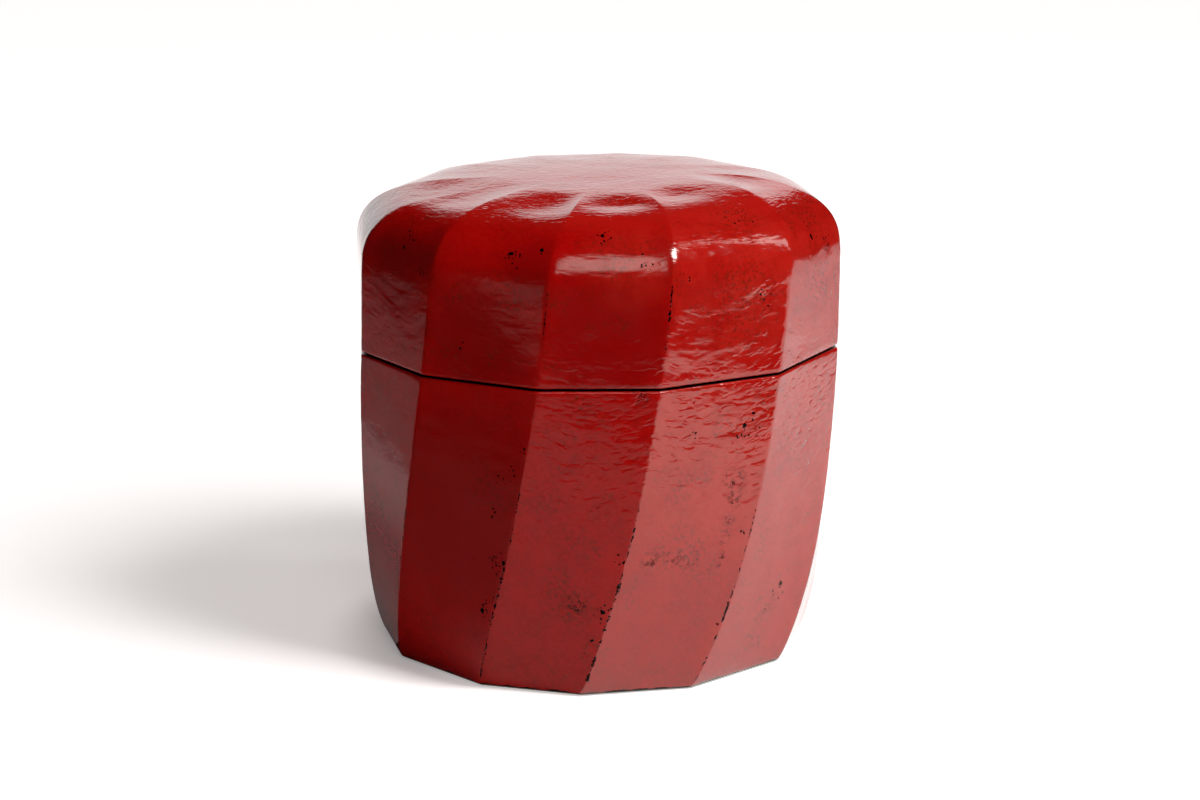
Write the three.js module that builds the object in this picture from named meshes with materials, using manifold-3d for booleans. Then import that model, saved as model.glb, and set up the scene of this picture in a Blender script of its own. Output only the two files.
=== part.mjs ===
// Lidded lacquer box, carved with slanting facets that run from the base over the lid.
// Millimetres, +Z up. The origin is the middle of the base, on the surface that the box stands on.

import * as THREE from 'three';
import { mergeVertices } from 'three/addons/utils/BufferGeometryUtils.js';
import Module from 'manifold-3d';

const wasm = await Module();
wasm.setup();

// Outside: radii are to the ridges between the facets.
const BASE_RADIUS = 30.9;
const SHOULDER_RADIUS = 35.7;
const BODY_HEIGHT = 45;
const LID_SIDE_HEIGHT = 12.8;
const CROWN_HEIGHT = 11;

// Side curve: how far its two ends keep their direction before they bend into each other.
const BASE_FLARE_OUT = 3.25;
const BASE_FLARE_UP = 6.3;
const SIDE_EASE = 32;

// Crown curve: exponents of the rounded-off ellipse from the shoulder to the middle of the lid.
const CROWN_SQUARENESS = 4.45;
const CROWN_FULLNESS = 2.75;

// Facets: the first ridge's angle at the base, the turn of the ridges from there to the top,
// and the share of its steepness that the turn loses on the way.
const FACETS = 12;
const FIRST_RIDGE_DEG = 178.4;
const TWIST_DEG = 22.5;
const TWIST_SLACKENING = 0.86;
// Hand-cut unevenness of the ridges, the same on opposite sides.
const RIDGE_DRIFT_DEG = [2.1, 0.1, -0.2, -2.6, -0.9, 1.5];

// Seam and edges.
const SEAM_GAP = 0.3;
const LIP_ROUND = 0.5;
const BASE_ROUND = 0.7;

// Inside.
const LID_WALL = 2.4;
const RIM_CLEARANCE = 0.3;
const RIM_THICKNESS = 1.3;
const RIM_STAND = 6;
const RIM_LET_IN = 4;
const RIM_EDGE = 0.4;
const GLUE_LINE = 0.2;
const FLOOR_THICKNESS = 4;
const CROWN_THICKNESS = 3.2;
const BODY_CAVITY_ROUND = 9;
const LID_CAVITY_ROUND = 8;

// Underside: a shallow recess that leaves a standing band.
const FOOT_BAND = 5;
const FOOT_RECESS = 0.8;

// Fineness of the faceted solids.
const ROUND_SEGMENTS = 72;
const ARC_STEPS = 8;
const EDGE_STEPS = 4;
const BODY_STEPS = 18;
const HOLLOW_STEPS = 6;
const LID_SIDE_STEPS = 6;
const CROWN_STEPS = 16;
const HALVINGS = 40;

// Length by which a cutting solid runs past the face that it opens.
const CUT_OVERRUN = 1;

// Lacquer colours and gloss.
const RED_COLOUR = 0x8f0d0a;
const RED_ROUGHNESS = 0.3;
const BLACK_COLOUR = 0x14100e;
const BLACK_ROUGHNESS = 0.25;

// Heights that follow from the sizes above.
const SHOULDER_Z = BODY_HEIGHT + LID_SIDE_HEIGHT;
const TOP_Z = SHOULDER_Z + CROWN_HEIGHT;
const BODY_TOP_Z = BODY_HEIGHT - SEAM_GAP / 2;
const LID_BOTTOM_Z = BODY_HEIGHT + SEAM_GAP / 2;

// The side curve holds (radius, height) pairs from the base to the shoulder.
const sideCurve = new THREE.CubicBezierCurve(
  new THREE.Vector2(BASE_RADIUS, 0),
  new THREE.Vector2(BASE_RADIUS + BASE_FLARE_OUT, BASE_FLARE_UP),
  new THREE.Vector2(SHOULDER_RADIUS, SHOULDER_Z - SIDE_EASE),
  new THREE.Vector2(SHOULDER_RADIUS, SHOULDER_Z),
);

// Ridge radius of the side at a height, found by halving the curve's parameter.
function sideRadius(z) {
  let low = 0;
  let high = 1;
  for (let i = 0; i < HALVINGS; i += 1) {
    const middle = (low + high) / 2;
    if (sideCurve.getPoint(middle).y < z) {
      low = middle;
    } else {
      high = middle;
    }
  }
  return sideCurve.getPoint(high).x;
}

// Turn of the ridges between the base and a height, in radians.
function turnAt(z) {
  const climb = z / TOP_Z;
  const share = (2 * climb - TWIST_SLACKENING * climb * climb) / (2 - TWIST_SLACKENING);
  return THREE.MathUtils.degToRad(TWIST_DEG * share);
}

// Angle of a ridge at the base, in radians from +X.
function ridgeAngle(index) {
  const drift = RIDGE_DRIFT_DEG[index % RIDGE_DRIFT_DEG.length];
  return THREE.MathUtils.degToRad(FIRST_RIDGE_DEG + index * (360 / FACETS) + drift);
}

// Share of the ridge radius that is left at the middle of the widest facet.
function narrowestShare() {
  let widest = 0;
  for (let i = 0; i < FACETS; i += 1) {
    const next = i + 1 < FACETS ? ridgeAngle(i + 1) : ridgeAngle(0) + 2 * Math.PI;
    widest = Math.max(widest, next - ridgeAngle(i));
  }
  return Math.cos(widest / 2);
}

// Inner radii, tied to the outside by the lid's wall and to each other by the clearances.
const FACET_SHARE = narrowestShare();
const LID_BORE_RADIUS = sideRadius(BODY_HEIGHT) * FACET_SHARE - LID_WALL;
const RIM_OUTER_RADIUS = LID_BORE_RADIUS - RIM_CLEARANCE;
const RIM_INNER_RADIUS = RIM_OUTER_RADIUS - RIM_THICKNESS;
const REBATE_RADIUS = RIM_OUTER_RADIUS + GLUE_LINE;
const BODY_WALL = LID_WALL + RIM_CLEARANCE + RIM_THICKNESS;
const FOOT_RECESS_RADIUS = (BASE_RADIUS - BASE_ROUND) * FACET_SHARE - FOOT_BAND;

// How far a rounded edge draws the surface in, at a distance from the edge.
function edgeInset(distance, round) {
  const rise = Math.max(0, 1 - distance / round);
  return round * (1 - Math.sqrt(1 - rise * rise));
}

// One ring of the skin: the ridge points at a height.
function skinRing(radius, z) {
  const ring = [];
  for (let i = 0; i < FACETS; i += 1) {
    const angle = ridgeAngle(i) + turnAt(z);
    ring.push(new THREE.Vector3(radius * Math.cos(angle), radius * Math.sin(angle), z));
  }
  return ring;
}

// Evenly spaced values from first to last, both included.
function spread(first, last, steps) {
  return Array.from({ length: steps + 1 }, (_, i) => first + ((last - first) * i) / steps);
}

// Closed solid through a stack of rings, with a point in the middle of each end.
function loft(rings, bottomZ, topZ) {
  const points = rings.flat();
  const bottom = points.push(new THREE.Vector3(0, 0, bottomZ)) - 1;
  const top = points.push(new THREE.Vector3(0, 0, topZ)) - 1;
  const last = (rings.length - 1) * FACETS;
  const faces = [];
  for (let i = 0; i < FACETS; i += 1) {
    const next = (i + 1) % FACETS;
    for (let level = 0; level < last; level += FACETS) {
      const above = level + FACETS;
      faces.push(level + i, level + next, above + i);
      faces.push(level + next, above + next, above + i);
    }
    faces.push(bottom, next, i);
    faces.push(top, last + i, last + next);
  }
  const geometry = new THREE.BufferGeometry().setFromPoints(points);
  geometry.setIndex(faces);
  return geometry;
}

// Solid of revolution about +Z from (radius, height) pairs that start and end on the axis.
function turned(profile) {
  const geometry = new THREE.LatheGeometry(profile, ROUND_SEGMENTS);
  return geometry.rotateX(Math.PI / 2);
}

// Points of a quarter circle between two angles, as (radius, height) pairs.
function arc(centreR, centreZ, round, fromAngle, toAngle) {
  return spread(fromAngle, toAngle, ARC_STEPS).map(
    (angle) => new THREE.Vector2(centreR + round * Math.cos(angle), centreZ + round * Math.sin(angle)),
  );
}

// Solid for cutting and joining, with shared points merged.
function toSolid(geometry) {
  const bare = geometry.clone();
  bare.deleteAttribute('normal');
  bare.deleteAttribute('uv');
  const merged = mergeVertices(bare);
  const mesh = new wasm.Mesh({
    numProp: 3,
    vertProperties: new Float32Array(merged.attributes.position.array),
    triVerts: new Uint32Array(merged.index.array),
  });
  return new wasm.Manifold(mesh);
}

// Geometry of the first solid with the others cut away.
function cutAway(geometry, cutters) {
  const solid = cutters.reduce((left, cutter) => left.subtract(toSolid(cutter)), toSolid(geometry));
  const mesh = solid.getMesh();
  const result = new THREE.BufferGeometry();
  result.setAttribute('position', new THREE.BufferAttribute(mesh.vertProperties, 3));
  result.setIndex(new THREE.BufferAttribute(mesh.triVerts, 1));
  return result;
}

// Outside of the body: rounded base edge, flaring side and rounded lip under the seam.
function bodySkin() {
  const heights = [
    ...spread(0, BASE_ROUND, EDGE_STEPS),
    ...spread(BASE_ROUND, BODY_TOP_Z - LIP_ROUND, BODY_STEPS).slice(1, -1),
    ...spread(BODY_TOP_Z - LIP_ROUND, BODY_TOP_Z, EDGE_STEPS),
  ];
  const rings = heights.map((z) => {
    const inset = edgeInset(z, BASE_ROUND) + edgeInset(BODY_TOP_Z - z, LIP_ROUND);
    return skinRing(sideRadius(z) - inset, z);
  });
  return loft(rings, 0, BODY_TOP_Z);
}

// Inner radius of the body at a height: the wall keeps its thickness behind the widest facet.
function hollowRadius(z) {
  return sideRadius(z) * FACET_SHARE - BODY_WALL;
}

// Hollow of the body, with the rebate for the ring at its mouth.
function bodyHollow() {
  const rebateZ = BODY_HEIGHT - RIM_LET_IN - GLUE_LINE;
  const wallZ = FLOOR_THICKNESS + BODY_CAVITY_ROUND;
  const corner = new THREE.QuadraticBezierCurve(
    new THREE.Vector2(hollowRadius(FLOOR_THICKNESS) - BODY_CAVITY_ROUND, FLOOR_THICKNESS),
    new THREE.Vector2(hollowRadius(FLOOR_THICKNESS), FLOOR_THICKNESS),
    new THREE.Vector2(hollowRadius(wallZ), wallZ),
  );
  return turned([
    new THREE.Vector2(0, FLOOR_THICKNESS),
    ...corner.getPoints(ARC_STEPS),
    ...spread(wallZ, rebateZ, HOLLOW_STEPS).slice(1).map((z) => new THREE.Vector2(hollowRadius(z), z)),
    new THREE.Vector2(REBATE_RADIUS, rebateZ),
    new THREE.Vector2(REBATE_RADIUS, BODY_TOP_Z + CUT_OVERRUN),
    new THREE.Vector2(0, BODY_TOP_Z + CUT_OVERRUN),
  ]);
}

// Recess under the base, with a bevelled side.
function footHollow() {
  return turned([
    new THREE.Vector2(0, -CUT_OVERRUN),
    new THREE.Vector2(FOOT_RECESS_RADIUS, -CUT_OVERRUN),
    new THREE.Vector2(FOOT_RECESS_RADIUS, 0),
    new THREE.Vector2(FOOT_RECESS_RADIUS - FOOT_RECESS, FOOT_RECESS),
    new THREE.Vector2(0, FOOT_RECESS),
  ]);
}

// Outside of the lid: rounded lip above the seam, side, shoulder and crown.
function lidSkin() {
  const heights = [
    ...spread(LID_BOTTOM_Z, LID_BOTTOM_Z + LIP_ROUND, EDGE_STEPS),
    ...spread(LID_BOTTOM_Z + LIP_ROUND, SHOULDER_Z, LID_SIDE_STEPS).slice(1),
  ];
  const rings = heights.map((z) => {
    const inset = edgeInset(z - LID_BOTTOM_Z, LIP_ROUND);
    return skinRing(sideRadius(z) - inset, z);
  });
  spread(0, Math.PI / 2, CROWN_STEPS)
    .slice(1, -1)
    .forEach((angle) => {
      const radius = SHOULDER_RADIUS * Math.cos(angle) ** (2 / CROWN_SQUARENESS);
      const rise = CROWN_HEIGHT * Math.sin(angle) ** (2 / CROWN_FULLNESS);
      rings.push(skinRing(radius, SHOULDER_Z + rise));
    });
  return loft(rings, LID_BOTTOM_Z, TOP_Z);
}

// Hollow of the lid: a round bore for the ring, rounded off under the crown.
function lidHollow() {
  const ceilingZ = TOP_Z - CROWN_THICKNESS;
  const straightZ = BODY_HEIGHT + RIM_STAND + RIM_CLEARANCE;
  const round = Math.min(LID_CAVITY_ROUND, ceilingZ - straightZ);
  return turned([
    new THREE.Vector2(0, LID_BOTTOM_Z - CUT_OVERRUN),
    new THREE.Vector2(LID_BORE_RADIUS, LID_BOTTOM_Z - CUT_OVERRUN),
    ...arc(LID_BORE_RADIUS - round, ceilingZ - round, round, 0, Math.PI / 2),
    new THREE.Vector2(0, ceilingZ),
  ]);
}

// Standing ring, with its upper edges bevelled to guide the lid.
function rimRing() {
  const bottomZ = BODY_HEIGHT - RIM_LET_IN;
  const topZ = BODY_HEIGHT + RIM_STAND;
  return turned([
    new THREE.Vector2(RIM_INNER_RADIUS, bottomZ),
    new THREE.Vector2(RIM_OUTER_RADIUS, bottomZ),
    new THREE.Vector2(RIM_OUTER_RADIUS, topZ - RIM_EDGE),
    new THREE.Vector2(RIM_OUTER_RADIUS - RIM_EDGE, topZ),
    new THREE.Vector2(RIM_INNER_RADIUS + RIM_EDGE, topZ),
    new THREE.Vector2(RIM_INNER_RADIUS, topZ - RIM_EDGE),
    new THREE.Vector2(RIM_INNER_RADIUS, bottomZ),
  ]);
}

// Red lacquer of the outside.
function redLacquer() {
  return new THREE.MeshStandardMaterial({ color: RED_COLOUR, roughness: RED_ROUGHNESS, metalness: 0 });
}

// Black lacquer of the ring.
function blackLacquer() {
  return new THREE.MeshStandardMaterial({ color: BLACK_COLOUR, roughness: BLACK_ROUGHNESS, metalness: 0 });
}

// Named mesh for one piece.
function piece(name, geometry, material) {
  const mesh = new THREE.Mesh(geometry, material);
  mesh.name = name;
  return mesh;
}

const box = new THREE.Group();
box.add(piece('body_shell', cutAway(bodySkin(), [bodyHollow(), footHollow()]), redLacquer()));
box.add(piece('inner_rim', rimRing(), blackLacquer()));
box.add(piece('lid_shell', cutAway(lidSkin(), [lidHollow()]), redLacquer()));

export default box;
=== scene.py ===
import math
from functools import partial

import bpy
import numpy as np
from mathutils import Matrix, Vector, noise


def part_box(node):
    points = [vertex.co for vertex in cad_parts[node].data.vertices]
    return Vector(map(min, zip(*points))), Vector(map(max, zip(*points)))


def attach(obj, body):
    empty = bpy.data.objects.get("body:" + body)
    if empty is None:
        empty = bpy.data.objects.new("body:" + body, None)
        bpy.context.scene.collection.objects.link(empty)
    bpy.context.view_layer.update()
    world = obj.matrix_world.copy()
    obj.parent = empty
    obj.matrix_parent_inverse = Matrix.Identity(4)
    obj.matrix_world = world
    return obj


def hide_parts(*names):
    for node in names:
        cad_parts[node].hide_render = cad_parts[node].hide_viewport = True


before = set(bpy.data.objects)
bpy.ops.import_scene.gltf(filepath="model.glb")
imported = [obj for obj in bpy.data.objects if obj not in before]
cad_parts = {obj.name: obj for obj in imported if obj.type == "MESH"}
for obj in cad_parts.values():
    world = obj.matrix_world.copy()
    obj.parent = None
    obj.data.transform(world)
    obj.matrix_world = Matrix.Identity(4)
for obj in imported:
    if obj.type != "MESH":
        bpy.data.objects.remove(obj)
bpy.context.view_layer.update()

MM = 0.001

# Heights and the rim's outer radius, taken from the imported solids.
BODY_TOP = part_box("body_shell")[1].z
LID_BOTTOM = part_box("lid_shell")[0].z
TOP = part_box("lid_shell")[1].z
SEAM = (BODY_TOP + LID_BOTTOM) / 2
RIM_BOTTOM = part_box("inner_rim")[0].z
RIM_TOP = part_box("inner_rim")[1].z
RIM_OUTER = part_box("inner_rim")[1].x

# Outside, with radii to the ridges between the facets: the sizes of the solids.
BASE_RADIUS = 30.9 * MM
SHOULDER_RADIUS = 35.7 * MM
CROWN_HEIGHT = 11 * MM
SHOULDER = TOP - CROWN_HEIGHT
BASE_FLARE_OUT = 3.25 * MM
BASE_FLARE_UP = 6.3 * MM
SIDE_EASE = 32 * MM
CROWN_SQUARENESS = 4.45
CROWN_FULLNESS = 2.75
LIP_ROUND = 0.5 * MM
BODY_LIP_ROUND = 0.3 * MM
BASE_ROUND = 0.7 * MM

# Facets and the slant of their ridges.
FACETS = 12
FIRST_RIDGE_DEG = 178.4
TWIST_DEG = 22.5
TWIST_SLACKENING = 0.86
RIDGE_DRIFT_DEG = np.array([2.1, 0.1, -0.2, -2.6, -0.9, 1.5] * 2)
WIDEST_FACET_DEG = 32.4
FACET_SHARE = math.cos(math.radians(WIDEST_FACET_DEG / 2))
# Lean of each ridge away from the common slant, in degrees over the height of the box.
RIDGE_LEAN_DEG = np.array([0.2, 3.2, -1.1, -1.8, 1.3, 0.1, 0.2, 0.6, -1.1, -1.8, 1.3, 0.1])
RIDGE_WOBBLE = 0.22 * MM
RIDGE_WOBBLE_LENGTH = 14 * MM
# Distance in the noise between the wobbles of two neighbouring ridges.
RIDGE_WOBBLE_APART = 7.3
# Further turn of each ridge over the crown, in degrees for each mm inward.
CROWN_SWIRL_DEG = np.array([0, -0.3, 0.15, 0.4, 1.0, 0.6, 0.3, 0.5, 0.2, 0.4, 0.1, 0.3])
# Scoops that end the facets on the crown: depth and outer radius of each, length of the outer slope,
# radii of the inner slope, and how far to the right the scoops are deepest.
SCOOP_DEPTHS = np.array([0.25, 0.6, 0.48, 0.3, 0.34, 0.12, 0.08, 0.1, 0.08, 0.1, 0.08, 0.15]) * MM
SCOOP_RADII = np.array([31, 30.5, 28.5, 27, 29, 28, 28, 28, 28, 28, 28, 31]) * MM
SCOOP_SLOPE = 8 * MM
SCOOP_INNER_RADII = np.array([8, 13, 15] + [14] * 9) * MM
SCOOP_FLAT_RADII = np.array([25, 22, 22] + [21] * 9) * MM
SCOOP_SKEW = np.array([0, 0.85, 0.1, -1.3, 0.2, 0, 0, 0, 0, 0, 0, 0])
# How far each ridge is lowered on the crown, and the radii between which that is so.
RIDGE_DEPTHS = np.array([0.5, 0, 0, 0, -0.3, 0, 0, 0, 0, 0, 0, 0]) * MM
RIDGE_DEPTH_RADII = (8 * MM, 25 * MM, 31 * MM)
# Outward bulge of the facets where they bend over the shoulder, how far to the right it is largest,
# the heights between which it grows, and the power of the radius with which it fades on the crown.
SHOULDER_BULGES = np.array([0.1, 0.1, 0.1, 0.3] + [0.1] * 8) * MM
SHOULDER_BULGE_SKEW = np.array([0, 0, 0, 1] + [0] * 8)
SHOULDER_BULGE_RISE = (53 * MM, 60 * MM)
SHOULDER_BULGE_FADE = 4
# Sideways offset of the foot, and the height below which it sets in.
FOOT_SHIFT = -0.55 * MM
FOOT_SHIFT_HEIGHT = 26 * MM

# Inside.
RIM_CLEARANCE = 0.3 * MM
RIM_THICKNESS = 1.3 * MM
RIM_EDGE = 0.4 * MM
LID_WALL = 2.4 * MM
BODY_WALL = LID_WALL + RIM_CLEARANCE + RIM_THICKNESS
GLUE_LINE = 0.2 * MM
FLOOR_THICKNESS = 4 * MM
CROWN_THICKNESS = 3.2 * MM
BODY_CAVITY_ROUND = 9 * MM
LID_CAVITY_ROUND = 8 * MM
FOOT_BAND = 5 * MM
FOOT_RECESS = 0.8 * MM
FOOT_RECESS_RADIUS = (BASE_RADIUS - BASE_ROUND) * FACET_SHARE - FOOT_BAND

# Hand-made unevenness of the lacquered surface.
BODY_RIDGE_SOFTNESS = 0.002
LID_RIDGE_SOFTNESS = 0.003
SHOULDER_RIDGE_SOFTNESS = 0.0045
SHOULDER_RIDGE_RISE = (52 * MM, 59 * MM)
# Softness of the ridges in the middle of the crown, and the radii between which they fade.
CROWN_RIDGE_SOFTNESS = 0.06
CROWN_RIDGE_FADE = (13 * MM, 22 * MM)
SWELL_HEIGHT = 0.16 * MM
SWELL_LENGTH = 15 * MM
RIPPLE_HEIGHT = 0.05 * MM
RIPPLE_LENGTH = 4.5 * MM
RIPPLE_STRETCH = 2.2
# Heights between which the ripple grows, and its share below them.
RIPPLE_RISE = (20 * MM, 40 * MM)
RIPPLE_LEAST = 0.35
# Rise of the crown to the right, where it sets in above the shoulder, and over what height.
CROWN_LEAN = 0.4 * MM
CROWN_LEAN_START = -2 * MM
CROWN_LEAN_RISE = 6 * MM
# Distances from the foot and from the lips over which the unevenness sets in.
FOOT_CALM = 2 * MM
LIP_CALM = 1 * MM

# Mesh fineness.
COLUMNS_PER_FACET = 40
COLUMNS = FACETS * COLUMNS_PER_FACET
RIDGE_CROWDING = 0.6
ROW_STEP = 0.45 * MM
EDGE_ROWS = 6
ARC_ROWS = 12
HOLLOW_ROWS = 10
RIM_COLUMNS = 240
SIDE_CURVE_POINTS = 400
CROWN_CURVE_POINTS = 2000
# Radius of the innermost ring round the axis.
INNERMOST_RING = 1 * MM
# Bend above which a corner is shaded sharp.
SHARP_CORNER_DEG = 38
# Distance to a ridge, in mm, that is stored where there is no ridge.
NO_RIDGE_MM = 9.0

# Worn stretches of the ridges: ridge number, lowest and highest point in mm, strength.
WEAR_FADE = 2 * MM
WORN_STRETCHES = [
    (0, 3, 20, 0.7),
    (1, 14, 30, 0.55),
    (2, 1, 21, 0.95),
    (2, 21, 32, 0.5),
    (2, 50, 60.5, 0.5),
    (3, 0.5, 20, 1.0),
    (3, 20, 30, 0.55),
    (3, 49, 61, 0.65),
    (4, 0.5, 16, 0.95),
    (4, 16, 28, 0.6),
    (4, 55, 60, 0.5),
    (5, 2, 18, 0.7),
    (6, 4, 26, 0.8),
    (7, 1, 15, 0.9),
    (7, 47, 58, 0.6),
    (8, 1, 24, 0.9),
    (9, 3, 17, 0.8),
    (9, 46, 60, 0.6),
    (10, 1, 22, 1.0),
    (11, 2, 19, 0.85),
]

# Share of a mark's reach within which it is at full strength.
MARK_CORE = 0.2
# Marked places: facet, share of its width from the left, height in mm, reach in mm.
SPECKED_PLACES = [
    (0, 0.54, 63.8, 2.4),
    (0, 0.85, 60.5, 1.6),
    (1, 0.66, 62.9, 2.8),
    (1, 0.92, 63.9, 1.4),
    (1, 0.3, 50.5, 1.4),
    (2, 0.38, 65.4, 2.4),
    (2, 0.75, 62.5, 2),
    (3, 0.62, 66.4, 3.4),
    (3, 0.8, 56, 2.6),
    (3, 0.1, 60, 1.4),
    (4, 0.45, 63, 2.6),
    (4, 0.7, 61, 2.2),
    (1, 0.86, 32.4, 2.6),
    (1, 0.96, 36.5, 1.2),
    (1, 0.8, 26, 2.2),
    (3, 0.78, 38.5, 3),
    (3, 0.36, 37.8, 1.2),
    (2, 0.92, 21.5, 1.6),
    (4, 0.6, 12, 2.4),
    (1, 0.95, 19, 3),
    (1, 0.96, 13, 3),
    (2, 0.96, 13, 2.5),
    (2, 0.97, 8, 2.5),
    (3, 0.96, 24, 2),
    (3, 0.97, 9, 2),
    (6, 0.3, 60, 3),
    (7, 0.7, 35, 2.6),
    (8, 0.4, 62, 2.6),
    (9, 0.2, 30, 2.2),
    (10, 0.6, 52, 3),
    (11, 0.5, 20, 2.4),
]
# Places where the coat is crackled, and where it is thin and brown.
CRACKLED_PLACES = [
    (3, 0.76, 30.8, 2.6),
    (3, 0.78, 28, 1.8),
    (3, 0.78, 25.5, 1.5),
    (3, 0.79, 22.8, 1.7),
    (3, 0.4, 20.4, 1.9),
    (3, 0.79, 19.6, 1.7),
    (3, 0.55, 20, 2.2),
    (3, 0.2, 20.6, 2.4),
    (2, 0.69, 14.1, 2.3),
    (4, 0.55, 9, 1.8),
    (2, 0.85, 44, 1.6),
    (7, 0.4, 26, 2),
    (9, 0.6, 15, 2.4),
    (10, 0.3, 40, 2),
]
BROWNED_PLACES = [
    (3, 0.62, 66.3, 7),
    (3, 0.6, 56, 11),
    (4, 0.5, 56, 9),
    (4, 0.4, 34, 8),
    (2, 0.55, 62.5, 5),
    (4, 0.55, 64, 5),
    (1, 0.7, 58, 4.5),
    (1, 0.75, 30, 6),
    (2, 0.6, 14, 6),
    (3, 0.55, 21, 5),
    (4, 0.5, 10, 5),
    (6, 0.5, 55, 6),
    (8, 0.4, 20, 6),
    (10, 0.6, 48, 6),
]

# Places where the coat is painted deeper in colour: painted shade on the front facets 0 to 2, and a
# deeper tone of the coat on the back facets 6, 8 and 10.
DEEP_AND_SHADED_PLACES = [
    (2, 0.5, 52, 16),
    (0, 0.5, 60, 10),
    (1, 0.5, 26, 26),
    (1, 0.5, 50, 13),
    (0, 0.9, 63, 7),
    (1, 0.9, 61.5, 8),
    (2, 0.94, 63, 6),
    (6, 0.5, 30, 12),
    (8, 0.5, 52, 10),
    (10, 0.4, 20, 12),
]

# Places where the coat is painted warmer in colour: painted light on the lit facets 2 to 4, and a warmer
# tone of the coat on the back facets 7 and 9.
WARM_AND_LIT_PLACES = [
    (3, 0.5, 62, 24),
    (4, 0.5, 58, 30),
    (3, 0.6, 34, 24),
    (4, 0.5, 26, 34),
    (2, 0.65, 63, 9),
    (7, 0.5, 50, 24),
    (9, 0.5, 30, 26),
]

# Places where the coat is smoother.
SMOOTHED_PLACES = [
    (0, 0.5, 26, 34),
    (1, 0.5, 30, 30),
    (6, 0.5, 24, 26),
    (9, 0.5, 28, 26),
]

MARKS = {
    "specked": SPECKED_PLACES,
    "crackled": CRACKLED_PLACES,
    "browned": BROWNED_PLACES,
    "deep_and_shaded": DEEP_AND_SHADED_PLACES,
    "warm_and_lit": WARM_AND_LIT_PLACES,
    "smoothed": SMOOTHED_PLACES,
}

# Lacquer colours.
RED = (0.34, 0.0012, 0.001, 1)
# Deep red, also used as painted shade in the listed deeper places.
DEEP_RED = (0.235, 0.001, 0.001, 1)
WARM_RED = (0.36, 0.003, 0.0015, 1)
# Red of the top, lighter as painted light from above.
TOP_LIT_RED = (0.44, 0.008, 0.005, 1)
# Brick red: painted light on the lit side, and a warmer tone of the coat at the back.
BRICK_RED = (0.355, 0.0105, 0.006, 1)
THIN_RED = (0.07, 0.009, 0.003, 1)
UNDERCOAT = (0.008, 0.006, 0.006, 1)
BLACK = (0.009, 0.007, 0.006, 1)
BROWN_BLACK = (0.02, 0.011, 0.008, 1)

# Gloss of the coats: the range of roughness, what bare undercoat adds to it, and the reflection.
RED_ROUGHNESS = (0.07, 0.13)
BARE_ROUGHNESS = 0.1
BLACK_ROUGHNESS = (0.14, 0.26)
RED_IOR = 1.6
RED_SPECULAR_TINT = (1, 0.985, 0.9, 1)

# Specks and smaller dots: size of their cells, chance above which a cell has one, that chance in the
# specked places, and the largest radius in cells.
SPECKS = (1.4 * MM, 0.975, 0.56, 0.29)
DOTS = (0.5 * MM, 0.965, 0.5, 0.36)
# How far and how finely their outlines are bent, size of the clouds with more specks and the chance
# there, growth of a speck with its chance, and softness of its edge in cells.
SPECK_BEND = 0.5 * MM
SPECK_BEND_SIZE = 0.45 * MM
SPECK_CLOUD_SIZE = 9 * MM
SPECK_CLOUD_CHANCE = 0.94
SPECK_GROWTH = 2.5
SPECK_EDGE = 0.06

# Wear on the ridges: the dashes, their ragged outline and their soft edge, with widths in mm.
DASH_SIZE = 1.2 * MM
DASH_LEVEL = 0.43
DASH_WIDTH = 1.35
RAGGED_SIZE = 0.25 * MM
RAGGED_WIDTH = 0.9
WEAR_EDGE = (0.01, 0.05)
# Black band round the foot, partly worn rim and partly painted contact shade: its ragged outline, and
# the heights over which it ends.
FOOT_WEAR_AND_SHADE_SIZE = 1.5 * MM
FOOT_WEAR_AND_SHADE_RAGGED = 0.9 * MM
FOOT_WEAR_AND_SHADE_END = (0.95 * MM, 1.1 * MM)

# Mottling, crackle and craters.
MOTTLE_PATCH_SIZE = 5 * MM
MOTTLE_SIZE = 0.45 * MM
MOTTLE_SHARE = 0.55
CRACKLE_SIZE = 0.9 * MM
CRACKLE_BREAK_SIZE = 1.0 * MM
CRACKLE_SHARE = 0.9
CRATER_SPACING = 3.2 * MM
CRATER_CHANCE = 0.8

# Sizes of the clouds in colour and gloss, and the shares of the broad and the smaller clouds.
BROAD_CLOUD_SIZE = 12 * MM
CLOUD_SIZE = 3.5 * MM
BROAD_CLOUD_SHARE = 0.4
CLOUD_SHARE = 0.6
FINE_CLOUD_SIZE = 0.6 * MM
GLOSS_CLOUD_SIZE = 4 * MM

# Brush marks: sizes, and how much closer they lie up the side than round it.
WAVE_SIZE = 3.0 * MM
DENT_SIZE = 1.7 * MM
DENT_PATCH_SIZE = 8 * MM
STREAK_SIZE = 2.4 * MM
HAIR_SIZE = 3 * MM
STROKE_SIZE = 0.6 * MM
GRAIN_SIZE = 0.6 * MM
BRUSH_CLOSENESS = 2.2
STREAK_CLOSENESS = 3.0
HAIR_CLOSENESS = 7.0
# Radius within which the brush marks no longer fan out from the axis.
BRUSH_LEAST_RADIUS = 14 * MM

# Two heights between which a mark or colour changes, and its strength below and above them.
WAVE_RISE = (16 * MM, 36 * MM, 0.4, 1.9)
WAVE_FALL = (50 * MM, 58 * MM, 1.0, 0.8)
DENT_RISE = (14 * MM, 36 * MM, 0.2, 1.0)
DENT_FALL = (42 * MM, 52 * MM, 1.0, 0.2)
STREAK_RISE = (62.5 * MM, 65 * MM, 0.0, 1.7)
STREAK_FALL = (66.8 * MM, 68.3 * MM, 1.0, 0.35)
# Heights over which the top turns to the lighter red, as painted light from above.
TOP_LIT_RISE = (65.5 * MM, 68 * MM, 0.0, 0.8)
# Distances in mm from a ridge between which the strokes along it fade, and their strength.
STROKE_FADE = (0.3, 3.5, 1.0, 0.0)

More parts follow.
